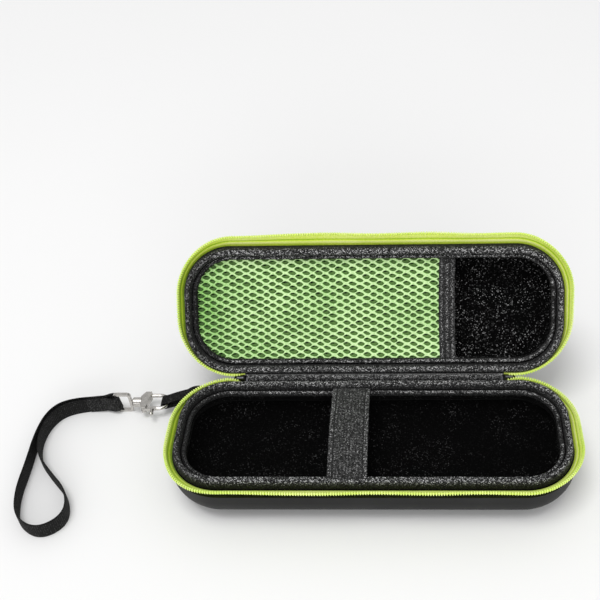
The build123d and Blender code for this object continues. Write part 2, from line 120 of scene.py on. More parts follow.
# ---- materials
class Look:
    """A material on the Principled shader, with short calls for the nodes that vary it."""

    def __init__(self, name, color, roughness, **sockets):
        self.material = bpy.data.materials.new(name)
        self.material.use_nodes = True
        self.nodes = self.material.node_tree.nodes
        self.links = self.material.node_tree.links
        self.shader = self.nodes["Principled BSDF"]
        self.shader.inputs["Base Color"].default_value = (*color, 1)
        self.shader.inputs["Roughness"].default_value = roughness
        for socket, value in sockets.items():
            self.shader.inputs[socket.replace("_", " ")].default_value = value

    def connect(self, value, socket):
        if isinstance(value, (int, float)):
            socket.default_value = value
        else:
            self.links.new(value, socket)

    def place(self, x=1.0, y=1.0, z=1.0):
        """Place on the object, in metres times the three scales."""
        mapping = self.nodes.new("ShaderNodeMapping")
        mapping.inputs["Scale"].default_value = (x, y, z)
        self.links.new(self.nodes.new("ShaderNodeTexCoord").outputs["Object"], mapping.inputs["Vector"])
        return mapping.outputs["Vector"]

    def noise(self, scale, detail=2.0, place=None):
        node = self.nodes.new("ShaderNodeTexNoise")
        node.inputs["Scale"].default_value = scale
        node.inputs["Detail"].default_value = detail
        self.links.new(place or self.place(), node.inputs["Vector"])
        return node.outputs["Fac"]

    def cells(self, scale, place=None):
        """Small cells: a random value for each, and the distance from its middle."""
        node = self.nodes.new("ShaderNodeTexVoronoi")
        node.inputs["Scale"].default_value = scale
        self.links.new(place or self.place(), node.inputs["Vector"])
        split = self.nodes.new("ShaderNodeSeparateColor")
        self.links.new(node.outputs["Color"], split.inputs["Color"])
        return split.outputs["Red"], node.outputs["Distance"]

    def math(self, operation, a, b=0.0):
        node = self.nodes.new("ShaderNodeMath")
        node.operation = operation
        self.connect(a, node.inputs[0])
        self.connect(b, node.inputs[1])
        return node.outputs["Value"]

    def ramp(self, value, stops):
        node = self.nodes.new("ShaderNodeValToRGB")
        elements = node.color_ramp.elements
        while len(elements) < len(stops):
            elements.new(0.5)
        for element, (position, color) in zip(elements, stops):
            element.position = position
            element.color = (*color, 1)
        self.links.new(value, node.inputs["Fac"])
        return node.outputs["Color"]

    def color(self, value, stops):
        self.links.new(self.ramp(value, stops), self.shader.inputs["Base Color"])

    def roughness(self, value, low, high):
        spread = self.ramp(value, [(0.3, gray(low)), (0.7, gray(high))])
        self.links.new(spread, self.shader.inputs["Roughness"])

    def tone(self):
        """The tone that a piece gives each of its points, as painted shading: 0 for painted shade in its
        hollows, 1 for painted highlight on its ridges.
        """
        node = self.nodes.new("ShaderNodeAttribute")
        node.attribute_name = "tone"
        return node.outputs["Fac"]

    def bump(self, height, strength, distance):
        """Relief from a height between 0 and 1; the distance is in millimetres."""
        node = self.nodes.new("ShaderNodeBump")
        node.inputs["Strength"].default_value = strength
        node.inputs["Distance"].default_value = distance * MM
        self.links.new(height, node.inputs["Height"])
        self.links.new(node.outputs["Normal"], self.shader.inputs["Normal"])


def gray(value):
    return (value, value, value)


def shaded(color, share):
    return tuple(channel * share for channel in color)


def moulded_shell():
    look = Look("moulded_shell", gray(0.0065), 0.55, Specular_IOR_Level=0.25)
    look.color(look.noise(18, 3), [(0.3, gray(0.005)), (0.7, gray(0.008))])
    look.roughness(look.noise(35, 3), 0.5, 0.62)
    look.bump(look.noise(2600, 3), 0.3, 0.12)
    return look.material


def glossy_cover():
    look = Look("glossy_cover", gray(0.008), 0.26, Specular_IOR_Level=0.55)
    creases = look.noise(1.0, 3, look.place(25, 260, 260))
    look.color(creases, [(0.3, gray(0.006)), (0.7, gray(0.011))])
    grain = look.math("MULTIPLY", look.noise(1500, 2), 0.12)
    look.bump(look.math("ADD", creases, grain), 0.4, 0.4)
    return look.material


def fleece(name, share):
    """Brushed fleece: near black, with a share of fibres painted pale as glints (painted highlights)."""
    look = Look(name, gray(0.002), 0.95, Sheen_Weight=0.012, Sheen_Roughness=0.5, Specular_IOR_Level=0.06)
    cell, middle = look.cells(1400)
    fibre = look.math("MULTIPLY", cell, look.math("LESS_THAN", middle, 0.5))
    patches = look.math("ADD", look.math("MULTIPLY", look.noise(80, 3), 0.7), share)
    glint = look.math("MULTIPLY", fibre, patches)
    look.color(glint, [(0.45, gray(0.0006)), (0.65, gray(0.006)), (0.85, gray(0.05)), (1.0, gray(0.3))])
    look.bump(look.noise(900, 4), 0.8, 0.6)
    return look.material


def knit(name, dark, middle, light, sheen=0.12, toned=False):
    """Tight knit whose stitches vary in tone one by one, the palest painted as glints (painted highlights),
    stronger on ridges and weaker in hollows where the piece gives its painted shading.
    """
    look = Look(name, gray(middle), 0.8, Sheen_Weight=sheen, Sheen_Roughness=0.4, Specular_IOR_Level=0.2)
    cell, near = look.cells(1600)
    glint = look.math("MULTIPLY", cell, look.math("SUBTRACT", 1.2, near))
    if toned:
        glint = look.math("MULTIPLY", glint, look.tone())
    look.color(glint, [(0.1, gray(dark)), (0.4, gray(middle)), (0.72, gray(light)), (1.0, gray(2 * light))])
    look.bump(look.math("SUBTRACT", 1.0, near), 0.8, 0.4)
    return look.material


def woven(name, low, high, roughness=0.75):
    """Plain woven yarn: a fine weave in height and tone, and slow changes of tone along it."""
    look = Look(name, low, roughness, Sheen_Weight=0.1, Specular_IOR_Level=0.3)
    weave = look.noise(1300, 3)
    patches = look.math("MULTIPLY", look.noise(45, 3), 0.45)
    look.color(look.math("ADD", look.math("MULTIPLY", weave, 0.55), patches), [(0.36, low), (0.64, high)])
    look.bump(weave, 0.6, 0.3)
    return look.material


def ridged(name, stops, weave_share, patch_share, patch_size=26):
    """Yarn with painted highlights on its ridges and painted shade in its hollows, with a fine weave and slow
    patches over them.
    """
    look = Look(name, stops[-1], 0.6, Sheen_Weight=0.1, Specular_IOR_Level=0.3)
    weave = look.noise(1100, 3)
    fine = look.math("MULTIPLY", look.math("SUBTRACT", weave, 0.5), weave_share)
    patch = look.math("MULTIPLY", look.math("SUBTRACT", look.noise(patch_size, 2), 0.5), patch_share)
    tone = look.math("ADD", look.math("ADD", look.tone(), fine), patch)
    last = len(stops) - 1
    look.color(tone, [(k / last, color) for k, color in enumerate(stops)])
    look.bump(weave, 0.6, 0.25)
    return look.material


def metal(name, color, roughness):
    look = Look(name, color, roughness, Metallic=1.0)
    wear = look.noise(420, 4)
    look.color(wear, [(0.3, shaded(color, 0.78)), (0.7, color)])
    look.roughness(wear, 0.8 * roughness, 1.3 * roughness)
    look.bump(look.noise(1500, 2), 0.08, 0.1)
    return look.material


def moulded(name, color, roughness):
    look = Look(name, color, roughness)
    look.color(look.noise(90, 3), [(0.3, shaded(color, 0.8)), (0.7, color)])
    look.bump(look.noise(1800, 2), 0.15, 0.1)
    return look.material


SHELL = moulded_shell()
GLOSS = glossy_cover()
# The base's fleece has a smaller share of painted glints than the lid's: painted shade for the deeper, darker
# well.
FLEECES = {"base": fleece("base_fleece", 0.38), "lid": fleece("lid_fleece", 0.6)}
KNIT = knit("knit", 0.003, 0.045, 0.37, sheen=0.05, toned=True)
KNIT_STRIP = knit("knit_strip", 0.006, 0.05, 0.26)
ELASTIC = knit("elastic", 0.008, 0.05, 0.24, toned=True)
WEBBING = knit("webbing", 0.002, 0.009, 0.04, sheen=0.03, toned=True)
THREAD = woven("thread", gray(0.008), gray(0.02))
# LIME and NET_GREEN: the yarn's own colour between, painted shade in the hollows and painted highlight on the
# ridges.
LIME = ((0.32, 0.56, 0.010), (0.68, 0.86, 0.06), (0.90, 0.98, 0.36))  # in hollows, between, on ridges
NET_GREEN = ((0.04, 0.14, 0.012), (0.17, 0.43, 0.07), (0.66, 0.88, 0.46))
# The back layer is real; its colours are the green net's painted darker, as painted shade behind the front
# layer.
NET_GREEN_IN_SHADE = ((0.012, 0.045, 0.004), (0.03, 0.09, 0.012), (0.1, 0.2, 0.04))
LIME_TAPE = ridged("lime_tape", LIME, weave_share=0.7, patch_share=0.5, patch_size=40)
LIME_TEETH = woven("lime_teeth", (0.60, 0.82, 0.08), (0.88, 0.98, 0.36), roughness=0.5)
NET = ridged("green_net", NET_GREEN, weave_share=0.7, patch_share=0.5)
NET_BACK = ridged("green_net_back", NET_GREEN_IN_SHADE, weave_share=0.6, patch_share=0.5)
NICKEL = metal("nickel", (0.60, 0.58, 0.55), 0.24)
BLACK_METAL = metal("black_metal", (0.055, 0.055, 0.06), 0.36)
PULL = moulded("pull_black", gray(0.014), 0.42)


# ---- places and shapes
def in_base(x, y, z):
    return (x, y, z)


def in_lid(x, y, z):
    """Where a point of the lid lies as it stands open, from its place in a half that lies like the base."""
    turn = math.radians(180 - lid_open)
    back = rear - y
    up = closing_height - z
    return (
        x,
        rear + back * math.cos(turn) + up * math.sin(turn),
        closing_height + back * math.sin(turn) - up * math.cos(turn),
    )


HALVES = (("base", in_base), ("lid", in_lid))


def piece(name, points, faces, material, half=in_base, painted_shading=None):
    """New smooth-shaded piece from points in millimetres."""
    mesh = bpy.data.meshes.new(name)
    if half is in_lid:
        faces = [tuple(reversed(face)) for face in faces]
    mesh.from_pydata([[c * MM for c in half(*point)] for point in points], [], faces)
    mesh.validate()
    mesh.polygons.foreach_set("use_smooth", [True] * len(mesh.polygons))
    mesh.materials.append(material)
    # painted shading of each point (painted shade in hollows, painted highlight on ridges), kept as the tone
    # attribute
    if painted_shading:
        mesh.attributes.new("tone", "FLOAT", "POINT").data.foreach_set("value", painted_shading)
    obj = bpy.data.objects.new(name, mesh)
    bpy.context.collection.objects.link(obj)
    return obj


def clean(obj, distance=0.02):
    """Joins points that coincide, and takes out the faces that this leaves flat."""
    data = bmesh.new()
    data.from_mesh(obj.data)
    bmesh.ops.remove_doubles(data, verts=data.verts, dist=distance * MM)
    bmesh.ops.dissolve_degenerate(data, edges=data.edges, dist=distance * MM / 2)
    data.to_mesh(obj.data)
    data.free()


def grid_faces(rows, columns, close_rows=False, close_columns=False):
    """Quads between neighbouring points of a grid that is listed row by row."""
    faces = []
    for i in range(rows if close_rows else rows - 1):
        for j in range(columns if close_columns else columns - 1):
            here = i * columns
            above = (i + 1) % rows * columns
            after = (j + 1) % columns
            faces.append((here + j, above + j, above + after, here + after))
    return faces


def sweep(rows, section_size, first=0):
    """Faces of a closed tube of equal sections, with its two ends."""
    faces = [tuple(first + k for k in face) for face in grid_faces(rows, section_size, close_columns=True)]
    faces.append(tuple(first + k for k in range(section_size)))
    last = first + (rows - 1) * section_size
    faces.append(tuple(last + k for k in reversed(range(section_size))))
    return faces


def ring(length, width, radius, middle, step):
    """Rounded rectangle as (x, y, outward x, outward y), clockwise from the hinge side's right end.
    Rings with one step share out their points alike, so the rows of a surface match."""
    half_x = length / 2 - radius
    half_y = width / 2 - radius
    turn_steps = round(math.pi / 2 * corner_radius / step)
    end_steps = round((case_width - 2 * corner_radius) / step)
    side_steps = round((case_length - 2 * corner_radius) / step)
    corners = (
        (1, 1, 90, end_steps, 2 * half_y),
        (1, -1, 0, side_steps, 2 * half_x),
        (-1, -1, -90, end_steps, 2 * half_y),
        (-1, 1, -180, side_steps, 2 * half_x),
    )
    points = []
    for side_x, side_y, start, run_steps, run in corners:
        centre_x = side_x * half_x
        centre_y = middle + side_y * half_y
        for k in range(turn_steps):
            angle = math.radians(start - 90 * k / turn_steps)
            out_x, out_y = math.cos(angle), math.sin(angle)
            points.append((centre_x + radius * out_x, centre_y + radius * out_y, out_x, out_y))
        angle = math.radians(start - 90)
        out_x, out_y = math.cos(angle), math.sin(angle)
        for k in range(run_steps):
            along = run * k / run_steps
            x = centre_x + radius * out_x + along * out_y
            y = centre_y + radius * out_y - along * out_x
            points.append((x, y, out_x, out_y))
    return points


def rim_ring(inset, margin, step):
    """Ring that lies `inset` inside the shell's rim, and a margin more along the front."""
    radius = max(corner_radius - inset - margin / 2, 0.5)
    return ring(case_length - 2 * inset, case_width - 2 * inset - margin, radius, margin / 2, step)


def free_edge(step):
    """Ring along the free edge of the zipper tape."""
    length = case_length + 2 * tape_flare_ends
    width = case_width + tape_flare_front - tape_setback
    radius = corner_radius + (tape_flare_ends + tape_flare_front) / 2
    return ring(length, width, radius, -(tape_flare_front + tape_setback) / 2, step)


def share_of(value, whole):
    """Value as a share of the whole, kept between 0 and 1."""
    return min(1.0, max(0.0, value / whole))


def smooth_step(share):
    """The same share, with a slow start and a slow end."""
    return share * share * (3 - 2 * share)


def distances(points):
    """Distance walked along a line at each of its points."""
    walked = [0.0]
    for before, after in zip(points, points[1:]):
        walked.append(walked[-1] + math.dist(before, after))
    return walked


def wave(x, y, z, size, height):
    """Soft, irregular rise and fall: the size of its waves and their height, in millimetres."""
    return height * smooth_noise.noise(Vector((x, y, z)) / size)


def smoothed(points, times):
    """The same line with its corners rounded; its ends stay."""
    for _ in range(times):
        inner = [(a + 2 * b + c) / 4 for a, b, c in zip(points, points[1:], points[2:])]
        points = [points[0], *inner, points[-1]]
    return points


def heading(points, i):
    return (points[min(i + 1, len(points) - 1)] - points[max(i - 1, 0)]).normalized()


# ---- camera
CAMERA_PLACE = Vector((0.0249, -0.3599, 0.4721))
CAMERA_YAW = math.radians(-3.3)
CAMERA_PITCH = math.radians(43.3)
CAMERA_ROLL = math.radians(-2.7)
CAMERA_LENS = 60
CAMERA_SHIFT = -73 / 600


def camera():
    level = math.cos(CAMERA_PITCH)
    forward = Vector((math.sin(CAMERA_YAW) * level, math.cos(CAMERA_YAW) * level, -math.sin(CAMERA_PITCH)))
    right = Vector((math.cos(CAMERA_YAW), -math.sin(CAMERA_YAW), 0))
    up = right.cross(forward)
    x_axis = right * math.cos(CAMERA_ROLL) + up * math.sin(CAMERA_ROLL)
    y_axis = up * math.cos(CAMERA_ROLL) - right * math.sin(CAMERA_ROLL)
    data = bpy.data.cameras.new("camera")
    data.lens = CAMERA_LENS
    data.sensor_width = 36
    data.shift_x = CAMERA_SHIFT
    data.clip_start = 0.01
    obj = bpy.data.objects.new("camera", data)
    bpy.context.collection.objects.link(obj)
    turn = Matrix((x_axis, y_axis, -forward)).transposed().to_4x4()
    obj.matrix_world = Matrix.Translation(CAMERA_PLACE) @ turn
    bpy.context.scene.camera = obj


camera()


# ---- wrist strap: ribbed webbing that stands on its edge, in one loop
def smooth_route(route):
    """Points along the smooth line that the route's points steer, in metres."""
    curve = bpy.data.curves.new("route", "CURVE")
    curve.dimensions = "3D"
    curve.resolution_u = 24
    spline = curve.splines.new("NURBS")
    spline.points.add(len(route) - 1)
    for point, place in zip(spline.points, route):
        point.co = (*place, 1)
    spline.order_u = 3
    spline.use_endpoint_u = True
    holder = bpy.data.objects.new("route", curve)
    bpy.context.collection.objects.link(holder)
    line = bpy.data.meshes.new_from_object(holder)
    points = [vertex.co.copy() for vertex in line.vertices]
    bpy.data.objects.remove(holder)
    bpy.data.curves.remove(curve)
    bpy.data.meshes.remove(line)
    return points


def even(points, step):
    """The same line in even steps, and its length."""
    walked = distances(points)
    count = round(walked[-1] / step)
    line = []
    k = 0
    for i in range(count + 1):
        want = walked[-1] * i / count
        while k < len(walked) - 2 and walked[k + 1] < want:
            k += 1
        share = (want - walked[k]) / (walked[k + 1] - walked[k])
        line.append(points[k].lerp(points[k + 1], share))
    return line, walked[-1]


def wrist_strap():
    rib_pitch = 1.15
    rib_height = 0.11
    edge_thinning = 0.65
    step = 0.3
    heights = (-1, -0.97, -0.9, -0.75, -0.5, -0.25, 0, 0.25, 0.5, 0.75, 0.9, 0.97, 1)
    route = [((x - end) * MM, (y + ribbon_y) * MM, webbing_width / 2 * MM) for x, y in strap_route]
    line, length = even(smooth_route(route), step * MM)
    points, painted_shading = [], []
    for i, middle in enumerate(line):
        along = heading(line, i)
        side = Vector((along.y, -along.x, 0))
        walked = i * length / (len(line) - 1) / MM
        ripple = rib_height * math.cos(2 * math.pi * walked / rib_pitch)
        for face, ups in ((1, heights), (-1, heights[::-1])):
            for up in ups:
                hem = min(1.0, 12 * (1 - abs(up)))
                thick = (webbing_thickness / 2 - 2 * rib_height) * (1 - edge_thinning * abs(up) ** 8)
                thick += ripple * hem
                place = middle / MM + side * (face * thick) + Vector((0, 0, up * webbing_width / 2))
                points.append(tuple(place))
                # painted shading: paler on the ribs' crests, darker between them
                painted_shading.append(0.65 + 5 * ripple * hem)
    faces = sweep(len(line), 2 * len(heights))
    strap = piece("webbing_loop", points, faces, WEBBING, in_base, painted_shading)
    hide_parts("wrist_strap")
    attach(strap, "strap")


wrist_strap()


# ---- CAD nodes that keep their shape
def paint(material, *nodes):
    for name in nodes:
        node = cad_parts[name]
        if not node.material_slots:
            node.data.materials.append(material)
        for slot in node.material_slots:
            slot.material = material


paint(SHELL, "base_shell", "lid_shell")
paint(NICKEL, "clasp_hook", "clasp_gate", "gate_pin", "swivel_ring")
paint(BLACK_METAL, "slider_left", "slider_right")
paint(PULL, "pull_left", "pull_right")


# ---- knit rolls along the rims
ROLL_STEP = 0.38
STITCH = 1.5  # size of a raised stitch, along the roll and across it
STITCH_HEIGHT = 0.14
ROLL_SQUARENESS = 2.6  # 2 is an ellipse
OUTER_ROLL = {
    "start": binding_start,
    "width": binding_width,
    "rise": binding_rise,
    "spread": -0.35,
    "hinge_spread": 0.9,
    "end_shade": 0.0,
}
INNER_ROLL = {
    "start": welt_start,
    "width": welt_width,
    "rise": welt_rise,
    "spread": 0.5,
    "hinge_spread": 0.0,
    "end_shade": 0.25,
}


def roll(name, node, body, half, shape, front_lean=0, gathers=0):
    """Roll with a rounded crest, rows of raised stitches, and soft waves where it is sewn on.
    It spreads out or in (where spread is negative) and towards the hinge, and gathers round the right end."""
    width, rise, spread = shape["width"], shape["rise"], shape["spread"]
    foot = 0.25 * rise  # the stitches fade in over this height
    side_room = 0.15
    steps = 2 * round((2 * rise + width) / STITCH)
    path = rim_ring(shape["start"] + width / 2, front_margin, ROLL_STEP)
    walked = distances(path)
    stitches = round(walked[-1] / STITCH)
    points, painted_shading = [], []
    for (x, y, out_x, out_y), distance in zip(path, walked):
        phase = 2 * math.pi * distance / walked[-1] * stitches
        front = max(0.0, -out_y) * front_lean
        lean = wave(x, y, 0, 26, 0.35) - 0.6 * front
        fold = max(0.0, out_x) * wave(distance, 0, 70, 4.5, gathers)
        swell = wave(x, y, 40, 17, 0.22) + fold
        for k in range(steps + 1):
            angle = math.pi * k / steps
            across = math.copysign(abs(math.cos(angle)) ** (2 / ROLL_SQUARENESS), math.cos(angle))
            up = math.sin(angle) ** (2 / ROLL_SQUARENESS)
            rib = math.cos(phase + math.pi * k)
            relief = STITCH_HEIGHT * rib * min(1, up * rise / foot)
            reach = across * (width / 2 - side_room + relief + 0.4 * front) + lean * up
            reach += spread * max(0.0, math.copysign(across, across * spread))
            reach += shape["hinge_spread"] * max(0.0, out_y) * max(0.0, across)
            points.append((x + out_x * reach, y + out_y * reach, shell_height + up * (rise + swell + relief)))
            # painted shading: painted shade at the roll's foot and highlight on its crest, paler stitch
            # ridges and gather crests, painted shade at the left end, and for the inner roll at both ends
            shade = 1 - 0.25 * max(0.0, -out_x) - shape["end_shade"] * abs(out_x)
            painted_shading.append((0.3 + 0.75 * up * up) * (1 + 0.22 * rib) * (1 + fold) * shade)
    faces = grid_faces(len(path), steps + 1, close_rows=True)
    obj = piece(name, points, faces, KNIT, half, painted_shading)
    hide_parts(node)
    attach(obj, body)


for (body, half), front_lean in zip(HALVES, (0.0, 1.6)):
    roll(f"{body}_outer_roll", f"{body}_binding", body, half, OUTER_ROLL, front_lean)
    roll(f"{body}_inner_roll", f"{body}_inner_welt", body, half, INNER_ROLL, gathers=1.0)


# ---- fleece liners
def liner(body, half):
    """Fleece skin of one half: from under the outer roll over the lip, down the wall and across the floor."""
    step = 1.0
    floor = shell_wall + liner_floor
    edge = shell_edge_radius - shell_wall - liner_wall
    slope_low = shell_height - liner_lip_depth - liner_slope_depth
    draft = math.tan(side_draft)
    wall = shell_wall + liner_wall
    bend = floor + edge
    bend_steps, floor_steps = 11, 12
    rows = [  # inset, height, share of the front's margin, how soft it lies
        (5.0, shell_height, 1, 0),
        (welt_start + 0.4, shell_height, 1, 0),
        (welt_end - 0.3, shell_height, 1, 0.1),
        (welt_end + 0.1, shell_height - 1.0, 1, 0.5),
        (welt_end + 0.1, shell_height - liner_lip_depth + 0.3, 1, 1),
        (welt_end - 0.9, shell_height - liner_lip_depth - 1.0, 0.75, 1),
        (wall + 0.9, slope_low + 0.4, 0.2, 1),
        (wall + (shell_height - slope_low) * draft, slope_low - 1.0, 0, 1),
    ]
    for k in range(bend_steps + 1):
        angle = math.pi / 2 * k / bend_steps
        inset = wall + (shell_height - bend) * draft + edge * (1 - math.cos(angle))
        rows.append((inset, bend - edge * math.sin(angle), 0, 1))
    last = rows[-1][0]
    centre = case_width / 2 - 0.01
    for k in range(1, floor_steps + 1):
        rows.append((last + (centre - last) * k / floor_steps, floor, 0, 1))
    points = []
    for inset, height, margin, soft in rows:
        for x, y, out_x, out_y in rim_ring(inset, margin * front_margin, step):
            push = soft * (wave(x, y, height, 15, 0.5) + wave(x, y, height + 90, 5, 0.14))
            lift = soft * wave(x, y, height + 50, 11, 0.35)
            on_floor = min(1.0, (inset - wall) / edge)
            push *= 1 - on_floor
            points.append((x - out_x * push, y - out_y * push, height + lift * on_floor))
    faces = grid_faces(len(rows), len(points) // len(rows), close_columns=True)
    obj = piece(f"{body}_fleece", points, faces, FLEECES[body], half)
    clean(obj)
    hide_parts(f"{body}_lining")
    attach(obj, body)


for body, half in HALVES:
    liner(body, half)


# ---- zipper
TAPE_STEP = 0.4
TAPE_START = tape_end + 1.5  # clear of the slider's nose
TEETH_START = tape_end + 4
# The tone column is painted shading: painted highlight where the tape stands out, painted shade in its
# grooves.
TAPE_SECTION = (  # share of the way up, how far it stands out of the tape's face, its tone, and the face
    (0.00, 0.00, 0.2, "outer"),
    (0.10, 0.08, 0.6, "outer"),
    (0.28, 0.00, 0.3, "outer"),
    (0.42, 0.10, 0.7, "outer"),
    (0.50, 0.00, 0.2, "outer"),
    (0.60, 0.12, 0.8, "outer"),
    (0.80, 0.12, 0.8, "outer"),
    (0.90, 0.00, 0.5, "outer"),
    (1.00, -0.10, 0.6, "outer"),
    (1.00, -0.10, 0.6, "inner"),
    (0.90, 0.05, 0.7, "inner"),
    (0.72, 0.05, 0.7, "inner"),
    (0.64, -0.25, 0.0, "inner"),
    (0.56, 0.02, 0.5, "inner"),
    (0.48, 0.12, 0.9, "inner"),
    (0.32, 0.12, 0.8, "inner"),
    (0.22, -0.05, 0.3, "inner"),
    (0.12, 0.08, 0.5, "inner"),
    (0.00, 0.00, 0.1, "inner"),
)


def off_spine(points, gap_end):
    """Indices of the ring's points that are left when the hinge's stretch is taken out, in their order."""
    kept = [not (abs(x) < gap_end and y > 0) for x, y, *_ in points]
    start = next(k for k in range(len(points)) if kept[k] and not kept[k - 1])
    return [(start + k) % len(points) for k in range(len(points)) if kept[(start + k) % len(points)]]


def ripple(body, x, y, out_x, out_y):
    """How far the tape's free edge wanders out or in: the base's bulges out at the front left corner,
    and the lid's bows out along the front."""
    corner_bulge = 6.5
    front_bow = 1.2
    front, left = max(0.0, -out_y), max(0.0, -out_x)
    shift = wave(x, y, 7, 34, 0.9) - 0.8 * left
    if body == "base":
        return shift + corner_bulge * left ** 2 * front ** 3
    return shift - 0.5 * left + front_bow * front * math.cos(math.pi / 2 * x / end)


def tape_share(x, y):
    """Share of its height that the tape has: it is sewn down towards the hinge."""
    sewn_length = 12
    sewn_share = 0.6
    near_hinge = share_of(tape_end + sewn_length - abs(x), sewn_length) if y > 0 else 0
    return 1 - sewn_share * smooth_step(near_hinge)


def zip_tape(body, half):
    foot = rim_ring(tape_foot, front_margin, TAPE_STEP)
    edge = free_edge(TAPE_STEP)
    order = off_spine(edge, TAPE_START)
    points = []
    for k in order:
        x, y, out_x, out_y = foot[k]
        edge_x, edge_y, *_ = edge[k]
        share = tape_share(x, y)
        for up, proud, _, face in TAPE_SECTION:
            reach = proud if face == "outer" else -tape_thickness - proud
            reach += up * up * ripple(body, x, y, out_x, out_y)
            place_x = x + (edge_x - x) * up + out_x * reach
            place_y = y + (edge_y - y) * up + out_y * reach
            points.append((place_x, place_y, shell_height + tape_rise * up * share))
    faces = sweep(len(order), len(TAPE_SECTION))
    # painted shading from the section, with painted shade added along the left end
    painted_shading = [tone + 0.4 * min(0.0, edge[k][2]) for k in order for _, _, tone, _ in TAPE_SECTION]
    obj = piece(f"{body}_zip_tape", points, faces, LIME_TAPE, half, painted_shading)
    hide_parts(f"{body}_zipper_tape")
    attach(obj, body)


def zip_teeth(body, half, phase):
    """One small nylon loop for each tooth: up the tape's inner face, over its edge, and down outside."""
    pitch = 1.45
    sides = 8
    yarn, yarn_ends = 0.42, 0.3  # thickness of the nylon, and where it goes into the tape
    wide, flat = 1.05, 0.75  # it is pressed flat
    loop = ((-1.0, -1.15), (-1.12, -0.1), (-0.95, 0.8), (-0.5, 1.15), (0.0, 0.9), (0.12, 0.1), (0.0, -0.5))
    edge = free_edge(TAPE_STEP / 2)
    order = off_spine(edge, TEETH_START)
    walked = distances([edge[k][:2] for k in order])
    number = int(walked[-1] / pitch)
    points, faces = [], []
    k = 0
    for tooth in range(number):
        while walked[k] < (tooth + phase) * pitch and k < len(walked) - 1:
            k += 1
        x, y, out_x, out_y = edge[order[k]]
        shift = ripple(body, x, y, out_x, out_y)
        low = shell_height + tape_rise * tape_share(x, y)
        faces += sweep(len(loop), sides, len(points))
        for m, (out, up) in enumerate(loop):
            before, after = loop[max(m - 1, 0)], loop[min(m + 1, len(loop) - 1)]
            run = math.dist(before, after)
            normal_out, normal_up = -(after[1] - before[1]) / run, (after[0] - before[0]) / run
            size = yarn_ends if m in (0, len(loop) - 1) else yarn
            for side in range(sides):
                angle = 2 * math.pi * side / sides
                along = wide * size * math.cos(angle)
                off = flat * size * math.sin(angle)
                reach = shift + out + normal_out * off
                points.append((
                    x + out_x * reach + out_y * along,
                    y + out_y * reach - out_x * along,
                    low + 0.1 + up + normal_up * off,
                ))
    obj = piece(f"{body}_zip_teeth", points, faces, LIME_TEETH, half)
    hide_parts(f"{body}_zipper_coil")
    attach(obj, body)


for (body, half), phase in zip(HALVES, (0.0, 0.5)):
    zip_tape(body, half)
    zip_teeth(body, half, phase)


# ---- net pocket in the lid: two knit layers, each with its own holes
MOUTH = end - pocket_mouth
NET_LEFT = welt_end - end
NET_MIDDLE = front_margin / 2
NET_HALF = rear - welt_end - front_margin / 2
NET_CORNER = corner_radius - welt_end - front_margin / 2
NET_TOP = shell_height - mesh_depth
MOUTH_TUCK = 2  # how far the net goes under the pocket's edge
CELL_X = 4.0
CELL_Y = 2.15


def net_height(x, y):
    """Height of the net: held along its three sewn sides, a little slack and uneven between them."""
    end_run, side_run = 14, 10  # over which it slackens
    deepest = 0.8
    from_end = share_of(x - NET_LEFT, end_run)
    from_side = share_of(NET_HALF - abs(y - NET_MIDDLE), side_run)
    slack = deepest * math.sin(math.pi * from_end / 2) * math.sin(math.pi * from_side / 2)
    return NET_TOP - 0.4 - slack + wave(x, y, 3, 24, 0.7) * min(from_end, from_side)


def in_pocket(x, y):
    """The point itself where it lies in the pocket's outline, or else the nearest point on that outline."""
    x = max(NET_LEFT, min(MOUTH + MOUTH_TUCK, x))
    off = max(-NET_HALF, min(NET_HALF, y - NET_MIDDLE))
    centre_x = NET_LEFT + NET_CORNER
    centre_off = math.copysign(NET_HALF - NET_CORNER, off)
    if x < centre_x and abs(off) > abs(centre_off):
        away = math.hypot(x - centre_x, off - centre_off)
        share = min(1.0, NET_CORNER / max(away, 0.001))
        x = centre_x + (x - centre_x) * share
        off = centre_off + (off - centre_off) * share
    return x, NET_MIDDLE + off


